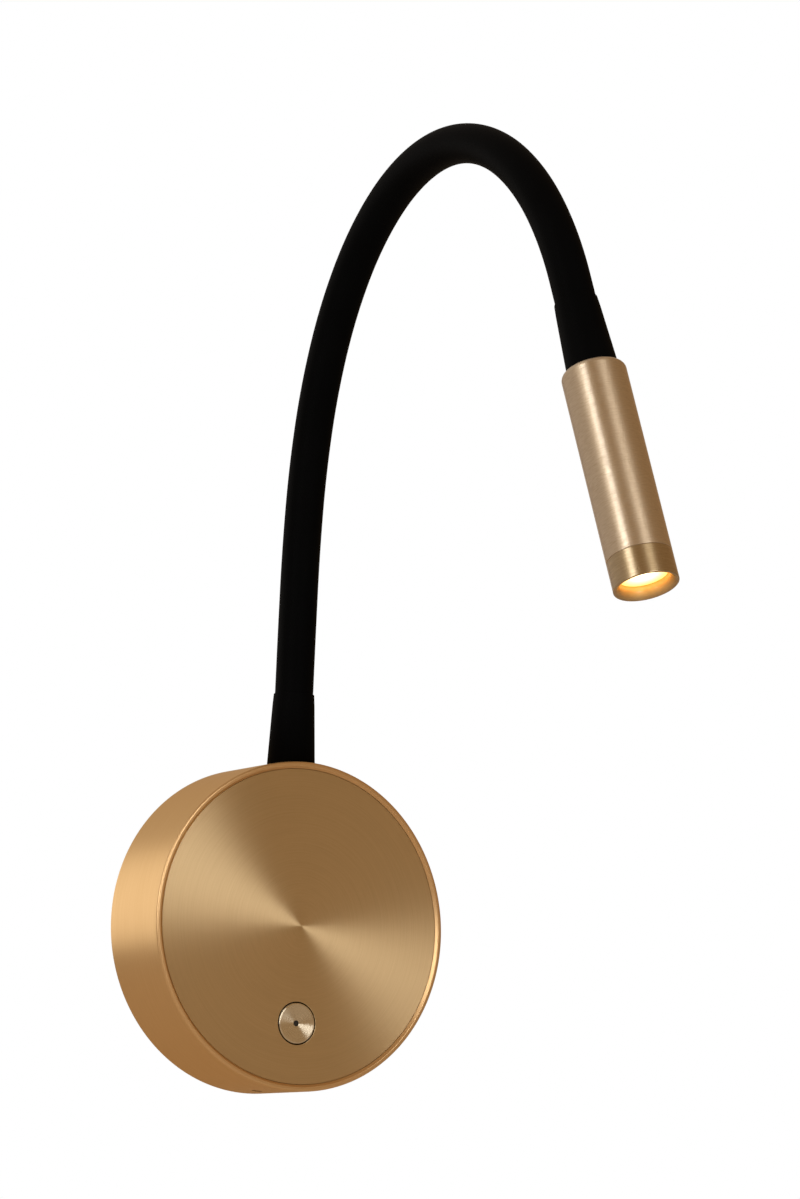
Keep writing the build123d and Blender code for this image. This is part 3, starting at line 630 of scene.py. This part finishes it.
facing = [np.tile([[sign, 0.0]], (len(heights), 1)) for sign in (1, -1)]
normals = np.vstack([normals[:2 * arc], facing[0], normals[2 * arc:], facing[1]])
print("shell outline of", len(outline), "points,", len(heights), "rows up each wall")

# %% Holes in the shell
sides = 360
outer_rows = 2 * arc + np.arange(len(heights))
inner_rows = len(outline) - 1 - np.arange(len(heights))
grids = ring_points(wall_centre, out_of_wall, outline, normals, sides)
points, directions = (grid.reshape(-1, 3) for grid in grids)
quads = grid_quads(len(outline), sides, close_rows=True)
kept = np.ones(quads.shape[:2], bool)
patches, patch_normals = [], []
ferrule_hole_r, neck_window = 5.15, 8
screw_bearing_deg, screw_depth, screw_hole_r, screw_window = -95, 14.0, 1.7, 3
neck_hole = (np.pi / 2, exit_depth / MM, ferrule_hole_r)
screw_hole = (np.radians(screw_bearing_deg), screw_depth, screw_hole_r)
for hole, half_width in ((neck_hole, neck_window), (screw_hole, screw_window)):
    middle = round(np.degrees(hole[0]) * sides / 360)
    columns = np.arange(middle - half_width, middle + half_width + 1)
    near = np.flatnonzero(np.abs(heights - hole[1]) < half_width - 1)
    column, row = window_border(len(columns), len(near))
    border = np.stack([np.radians(columns[column] * 360 / sides) - hole[0], heights[near[row]] - hole[1]], 1)
    rims = []
    for wall_r, rows, sign in ((outer_r, outer_rows, 1), (inner_r, inner_rows, -1)):
        kept[np.ix_(np.minimum(rows[near[:-1]], rows[near[1:]]), columns[:-1] % sides)] = False
        index = rows[near[row]] * sides + columns[column] % sides
        new, spokes, rings, rim, bearing = wall_patch(
            wall_centre, out_of_wall, wall_r, hole, border, index, len(points))
        points, directions = np.vstack([points, new]), np.vstack([directions, sign * spokes])
        patches.append(rings[:, ::sign])
        rims.append(rim)
    outer_rim, inner_rim = rims
    patches.append(np.stack([outer_rim, np.roll(outer_rim, -1), np.roll(inner_rim, -1), inner_rim], 1))
    side, across = around(out_of_wall)
    tangent = np.cos(hole[0]) * across - np.sin(hole[0]) * side
    bore = -(np.cos(bearing)[:, None] * tangent + np.sin(bearing)[:, None] * out_of_wall)
    after = np.roll(bore, -1, axis=0)
    patch_normals.append(np.stack([bore, after, after, bore], 1).reshape(-1, 3))
groups = [quads[kept]] + patches
corner_normals = [directions[group].reshape(-1, 3) for group in groups]
# Each hole has three groups, the outer and inner rings and the bore, whose normals face the hole's axis.
corner_normals[3], corner_normals[6] = patch_normals
base_shell = fill_mesh("base_shell_spun", points, groups, corner_normals, satin_brass)

# %% [markdown]
# ## The face disc and the button
# The disc is a plain brass blank, turned on its face, let into the lip. Its grooves run round its middle,
# but the button's hole is off the middle, so its rings start round the hole and drift over to the disc's
# own centre: each ring has a sideways shift. The button is turned as well, with its own centre and a hole
# for the black dot.

# %% Face disc
button_gap = 0.38
button_r = 12.3 / 2
hole_r = button_r + button_gap
disc_corners = [
    (hole_r, disc_seat), (disc_r, disc_seat), (disc_r, disc_front), (hole_r, disc_front),
]
outline, normals = rounded_outline(disc_corners, roundings=[0.10, 0.15, 0.10, 0.12])
arc = len(outline) // len(disc_corners)
of_hole = np.repeat([1, 0, 0, 1], arc)[:, None]
face_disc = turned("face_disc_turned", wall_centre, out_of_wall, outline, normals, brushed_brass, sides=360,
                   shift=of_hole * button_centre / MM)

# %% Button
button_back = -button_box[1].y / MM
flange_r = button_box[1].x / MM
stem_r, stem_length, flange_t = 2.0, 2.3, 0.8
flange_back = button_back + stem_length
flange_front = flange_back + flange_t
rim_width, dish_depth, dot_hole_r, dot_hole_depth = 0.5, 0.7, 0.9, 1.6
rim_r = button_r - rim_width
dish_at_hole = button_front - dish_depth * (1 - dot_hole_r / rim_r)
outline, normals = rounded_outline([
    (0, button_back), (stem_r, button_back), (stem_r, flange_back), (flange_r, flange_back),
    (flange_r, flange_front), (button_r, flange_front), (button_r, button_front), (rim_r, button_front),
    (dot_hole_r, dish_at_hole), (dot_hole_r, button_front - dot_hole_depth),
    (0, button_front - dot_hole_depth),
], roundings=[0, 0.1, 0.1, 0.1, 0.1, 0.1, 0.35, 0.8, 0.08, 0.05, 0], closed=False)
button_cap = turned("button_turned", button_centre, out_of_wall, outline, normals, champagne_metal)

# %% [markdown]
# ## The lamp head
# The head is a brass tube with a closed top, and a bezel ring that screws into its lower end. They meet at
# a fine seam with two bevels. The ring's mouth flares, and behind it sits the lens. All of it is turned, so
# the same outlines as on a drawing do, carried round the head's own leaning axis.

# %% Head tube and bezel ring
head_r, head_length, bezel_length = 9.3, 67.5, 8.8
seam = head_length - bezel_length
head_wall, step_wall, thread_r, top_t, sink_start = 1.4, 2.1, 5.0, 6.0, 38.0
head_bore_r, head_step_r = head_r - head_wall, head_r - step_wall
outline, normals = rounded_outline([
    (thread_r, 0), (head_r, 0), (head_r, seam), (head_bore_r, seam),
    (head_bore_r, sink_start), (head_step_r, sink_start), (head_step_r, top_t), (thread_r, top_t),
], roundings=[0.1, 1.8, 0.25, 0.1, 0.05, 0.1, 0.2, 0.1])
head_tube = turned("head_tube_turned", head_top, head_axis, outline, normals, turned_brass)

flare_r, mouth_r, flare_depth, lens_sink, lens_t = 8.8, 7.1, 1.5, 3.5, 2.0
lens_back = head_length - lens_sink - lens_t
spigot_gap, spigot_length, spigot_wall, shoulder_width, shoulder_t = 0.1, 5.0, 1.2, 0.8, 1.5
spigot_r, spigot_start = head_bore_r - spigot_gap, seam - spigot_length
spigot_bore_r, shoulder_r = spigot_r - spigot_wall, mouth_r - shoulder_width
outline, normals = rounded_outline([
    (spigot_bore_r, spigot_start), (spigot_r, spigot_start), (spigot_r, seam), (head_r, seam),
    (head_r, head_length), (flare_r, head_length), (mouth_r, head_length - flare_depth), (mouth_r, lens_back),
    (shoulder_r, lens_back), (shoulder_r, lens_back - shoulder_t), (spigot_bore_r, lens_back - shoulder_t),
], roundings=[0.1, 0.1, 0.05, 0.25, 0.35, 0.1, 3.5, 0.05, 0.05, 0.1, 0.05])
bezel = turned("bezel_turned", head_top, head_axis, outline, normals, fine_turned_brass)

# %% [markdown]
# ## Boots and sleeve
# A tapered rubber boot covers each end of the neck. The upper one stands on the flat top of the head. The
# lower one stands on the round wall of the base, so its foot is cut to that curve: any point under the
# wall's surface is lifted onto it. The sleeve is one long tube, and it has to bend with the twelve hinges
# inside it, so it is made in twelve lengths, from the middle of one stretch to the middle of the next. Each
# length spans one hinge and meets its neighbours face to face.

# %% Boots
boot_length, boot_shoulder, boot_foot_r, boot_top_r, boot_lip, boot_gap = 22.0, 3.5, 7.4, 6.5, 0.3, 0.05
sleeve_r, sleeve_wall = 11.8 / 2, 1.4
foot_gap = 0.02
boot_bore_r = sleeve_r + boot_gap


def boot(name, origin, axis, foot):
    """Boot from its foot up: a straight taper, a long soft shoulder, and a thin lip on the sleeve."""
    outline, normals = rounded_outline([
        (boot_bore_r, foot), (boot_foot_r, foot), (boot_top_r, boot_length - boot_shoulder),
        (boot_bore_r + boot_lip, boot_length), (boot_bore_r, boot_length),
    ], roundings=[0.1, 0.2, 12.0, 0.14, 0.1], steps=10)
    return turned(name, origin, axis, outline, normals, black_rubber, sides=128)


upper_boot = boot("upper_boot_moulded", head_top, -head_axis, 0.0)
lower_boot = boot("lower_boot_moulded", start, headings[0], -shell_wall)
spots = np.empty(len(lower_boot.data.vertices) * 3)
lower_boot.data.vertices.foreach_get("co", spots)
spots = spots.reshape(-1, 3)
saddle = np.sqrt(base_r**2 - spots[:, 0]**2) + foot_gap * MM
spots[:, 2] = np.maximum(spots[:, 2], saddle)
lower_boot.data.vertices.foreach_set("co", spots.ravel())
print("boot foot follows the wall from", (saddle.min() / MM).round(2), "mm up")


# %% Tubes along the neck
def neck_tube(name, first, last, outer_r, inner_r, material, sides, rings):
    """Tube along the neck between two runs: rings of the outer radius one way and of the inner radius back,
    each ring square to the neck's heading."""
    run = np.linspace(first, last, rings)
    centres, heading = along_neck(run)
    side = np.array([1.0, 0, 0]) - heading[:, :1] * heading
    side = side / np.linalg.norm(side, axis=1)[:, None]
    across = np.cross(heading, side)
    angle = np.linspace(0, 2 * np.pi, sides, endpoint=False)
    spokes = np.cos(angle)[:, None] * side[:, None] + np.sin(angle)[:, None] * across[:, None]
    outer = centres[:, None] + outer_r * MM * spokes
    inner = (centres[:, None] + inner_r * MM * spokes)[::-1]
    points = np.vstack([outer, inner]).reshape(-1, 3)
    directions = np.vstack([spokes, -spokes[::-1]]).reshape(-1, 3)
    quads = grid_quads(2 * rings, sides, close_rows=True).reshape(-1, 4)
    return fill_mesh(name, points, [quads], [directions[quads].reshape(-1, 3)], material)


def follow_hinge(piece):
    """Bakes a length of tube's placement into its points."""
    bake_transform(piece)


def cut_at_middles(first, last):
    """Runs where a tube is cut: its own ends, and the middle of every stretch but the first and last."""
    middles = (runs[1:-2] + runs[2:-1]) / 2
    return np.concatenate([[first], middles, [last]])


ferrule_collar = 10.0 * MM
cuts = cut_at_middles(ferrule_collar, neck_run - ferrule_collar)
sleeves = []
for k in range(1, len(hinges) + 1):
    piece = neck_tube(f"sleeve_{k:02d}", cuts[k - 1], cuts[k], sleeve_r, sleeve_r - sleeve_wall,
                      black_rubber, sides=96, rings=33)
    follow_hinge(piece)
    sleeves.append(piece)

# %% [markdown]
# The lead that feeds the lamp runs inside the neck, from the driver in the base to the board in the head.
# It can't be seen, but it has to bend as well, so it is cut at the same middles, one length to a hinge.

# %% Lamp lead
lead_r, jacket_wall = 2.2, 0.6
driver_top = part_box("led_driver")[1].z
board_run = 50.0 * MM
cuts = cut_at_middles(driver_top - base_r, neck_run + board_run)
leads = []
for k in range(1, len(hinges) + 1):
    piece = neck_tube(f"lead_{k:02d}", cuts[k - 1], cuts[k], lead_r, lead_r - jacket_wall,
                      black_rubber, sides=32, rings=17)
    follow_hinge(piece)
    leads.append(piece)


# %% [markdown]
# ## Finishes of the pieces inside
# What the base and the head hold is seen only with the lamp apart, or from behind, but each piece still
# gets the finish of its own material: plated steel, moulded plastic, a lacquered board. They share one
# recipe, a cloudy change of colour and roughness at the material's own grain, and a shallow bump.

# %% Plain finishes
roughness_swing = 0.08


def plain_finish(name, bright, dull, grain_mm, bump_mm, roughness, metallic=0.0):
    """Even finish whose colour and roughness drift with a noise of the material's grain size."""
    material, tree = new_material(name)
    place = add(tree, "ShaderNodeTexCoord").outputs["Object"]
    grain = add(tree, "ShaderNodeTexNoise", {"Vector": place, "Scale": 1 / (grain_mm * MM), "Detail": 4.0})
    tint = add(tree, "ShaderNodeMix", {
        0: grain.outputs[0], 6: linear(dull), 7: linear(bright),
    }, data_type="RGBA")
    rough = add(tree, "ShaderNodeMapRange", {
        "Value": grain.outputs[0],
        "To Min": roughness - roughness_swing, "To Max": roughness + roughness_swing,
    })
    bump = add(tree, "ShaderNodeBump", {"Height": grain.outputs[0], "Distance": bump_mm * MM})
    shader = add(tree, "ShaderNodeBsdfPrincipled", {
        "Base Color": tint.outputs[2], "Metallic": metallic, "Roughness": rough.outputs[0],
        "Normal": bump.outputs[0],
    })
    add(tree, "ShaderNodeOutputMaterial", {"Surface": shader.outputs[0]})
    return material


finishes = {
    # Bright turned brass, bare: a little yellower than the satin outside.
    "raw_brass": plain_finish(
        "raw_brass", "#DDBB74", "#CBA55C", grain_mm=0.8, bump_mm=0.002, roughness=0.26, metallic=1.0),
    # Zinc-plated pressed steel: a cool grey with soft spangles.
    "zinc_steel": plain_finish(
        "zinc_steel", "#C3C7CB", "#A9AEB4", grain_mm=3.0, bump_mm=0.004, roughness=0.38, metallic=1.0),
    # Steel blackened in hot oxide: a dull dark metal.
    "black_steel": plain_finish(
        "black_steel", "#2B2B2D", "#1C1C1E", grain_mm=0.6, bump_mm=0.003, roughness=0.45, metallic=1.0),
    # Galvanised strip, wound hard into a tube: a mid grey with a faint bloom.
    "core_steel": plain_finish(
        "core_steel", "#A6AAAE", "#8C9094", grain_mm=1.2, bump_mm=0.006, roughness=0.40, metallic=1.0),
    # Aluminium as turned, then etched: pale and even.
    "aluminium": plain_finish(
        "aluminium", "#D3D5D7", "#C3C6C9", grain_mm=0.7, bump_mm=0.002, roughness=0.34, metallic=1.0),
    # Plastic with aluminium steamed on in vacuum: nearly a mirror.
    "reflector_mirror": plain_finish(
        "reflector_mirror", "#EFEFED", "#E4E4E2", grain_mm=4.0, bump_mm=0.001, roughness=0.12, metallic=1.0),
    # Moulded black plastic with a fine spark-eroded grain: dark and half matt.
    "black_plastic": plain_finish(
        "black_plastic", "#12100E", "#0C0B09", grain_mm=0.3, bump_mm=0.006, roughness=0.50),
    # Moulded white polyamide: slightly warm, half matt.
    "white_plastic": plain_finish(
        "white_plastic", "#E9E6DF", "#DFDCD4", grain_mm=0.5, bump_mm=0.004, roughness=0.48),
    # Glass-fibre board under printed solder mask: green, with a soft gloss.
    "circuit_board": plain_finish(
        "circuit_board", "#2A6B3F", "#1E5632", grain_mm=1.0, bump_mm=0.003, roughness=0.34),
    # Extruded flexible jacket: dark grey, silky.
    "wire_jacket": plain_finish(
        "wire_jacket", "#3A3A3C", "#2E2E30", grain_mm=0.6, bump_mm=0.004, roughness=0.44),
    "black_rubber": black_rubber,
}
print(len(finishes), "finishes for the pieces inside")

# %% [markdown]
# ## The lit lens
# The lamp is on. Its lens is a moulded acrylic disc, and all that the eye gets from it is light: a white
# hot middle that falls off to the rim. The amber in the mouth isn't painted: it is the bare brass round the
# lens, lit by it.

# %% Lens and LED
polished, acrylic_ior = 0.2, 1.49


def lit_finish(name, body, core_glow, rim_glow, middle, rim, reach_mm):
    """Glowing finish: from the head's axis to the reach its strength falls evenly, and its colour goes from
    the core's to the rim's."""
    material, tree = new_material(name)
    axis = Vector(head_axis)
    place = add(tree, "ShaderNodeTexCoord").outputs["Object"]
    centre = Vector(head_top)
    offset = add(tree, "ShaderNodeVectorMath", {0: place, 1: centre}, operation="SUBTRACT").outputs[0]
    swept = add(tree, "ShaderNodeVectorMath", {0: offset, 1: axis}, operation="CROSS_PRODUCT").outputs[0]
    radius = add(tree, "ShaderNodeVectorMath", {0: swept}, operation="LENGTH").outputs["Value"]
    share = add(tree, "ShaderNodeMapRange", {"Value": radius, "From Max": reach_mm * MM}).outputs[0]
    power = add(tree, "ShaderNodeMapRange", {"Value": share, "To Min": middle, "To Max": rim}).outputs[0]
    glow = add(tree, "ShaderNodeMix", {
        0: share, 6: linear(core_glow), 7: linear(rim_glow),
    }, data_type="RGBA").outputs[2]
    shader = add(tree, "ShaderNodeBsdfPrincipled", {
        "Base Color": linear(body), "Roughness": polished, "IOR": acrylic_ior,
        "Emission Color": glow, "Emission Strength": power,
    })
    add(tree, "ShaderNodeOutputMaterial", {"Surface": shader.outputs[0]})
    return material


# The lens: acrylic, moulded and clear. Lit from behind, it shows no colour of its own but the glow.
finishes["lens_glass"] = lit_finish(
    "acrylic_lens_lit", "#F4F1EA", "#FFE2B0", "#FFA832", middle=6.0, rim=1.8, reach_mm=6.6)
# The LED: silicone filled with yellow phosphor, cast over the chip. Lit, it is a small, even bright spot.
finishes["led_phosphor"] = lit_finish(
    "led_phosphor_lit", "#E8C860", "#FFE6BC", "#FFC874", middle=6.0, rim=4.0, reach_mm=2.5)
print("finishes", finishes["lens_glass"].name, "and", finishes["led_phosphor"].name)

# %% [markdown]
# ## Putting it together
# The new pieces stand for the faceted ones: they hide them, and the turned ones ride on the same bodies.
# Every CAD piece that stays gets its slot's finish. The back soft box would draw a pale band along the head
# that a studio keeps off with a flag, a black board between lamp and object. Light linking is such a flag:
# it takes the head and its bezel off the list of what that lamp lights.

# %% Bodies, slots and finishes
for piece, body, slot, node in (
    (base_shell, "base", "satin_brass", "base_shell"),
    (face_disc, "base", "brushed_brass", "face_disc"),
    (button_cap, "button", "champagne_metal", "button_cap"),
    (head_tube, "head", "turned_brass", "head_body"),
    (bezel, "head", "fine_turned_brass", "bezel_ring"),
    (lower_boot, "base", "black_rubber", "lower_boot"),
    (upper_boot, "head", "black_rubber", "upper_boot"),
):
    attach(piece, body)
    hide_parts(node)
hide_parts("neck_sleeve_00")
for k, (sleeve, lead) in enumerate(zip(sleeves, leads), start=1):
    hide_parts(f"neck_sleeve_{k:02d}")
    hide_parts("lamp_lead")
    lead.data.materials[0] = finishes["wire_jacket"]
print("the neck bends in", len(sleeves), "lengths of sleeve and", len(leads), "of lead")

# %% Flag for the head
flagged = bpy.data.collections.new("flagged_from_back_light")
for piece in (head_tube, bezel):
    flagged.objects.link(piece)
for entry in flagged.collection_objects:
    entry.light_linking.link_state = "EXCLUDE"
back_light.light_linking.receiver_collection = flagged

# %% Finishes on the CAD pieces
finishes.update(satin_brass=satin_brass, brushed_brass=brushed_brass, turned_brass=turned_brass,
                fine_turned_brass=fine_turned_brass, champagne_metal=champagne_metal)
for subpart in frame["record"]["subparts"]:
    cad_mesh = frame["nodes"][subpart["node"]].data
    cad_mesh.materials.clear()
    cad_mesh.materials.append(finishes[subpart["material_slot"]])

# %% [markdown]
# ## Measuring
# The sizes of the CAD model's box and of the dressed lamp's are printed one after the other. The
# dressed lamp may not outgrow the CAD model.

# %% Sizes, then finish
boxes = {"cad": [list(corner) for corner in cad_box], "visual": [list(corner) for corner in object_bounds()]}
for name, box in boxes.items():
    print(name, "size in metres", np.ptp(np.array(box), axis=0).round(4))
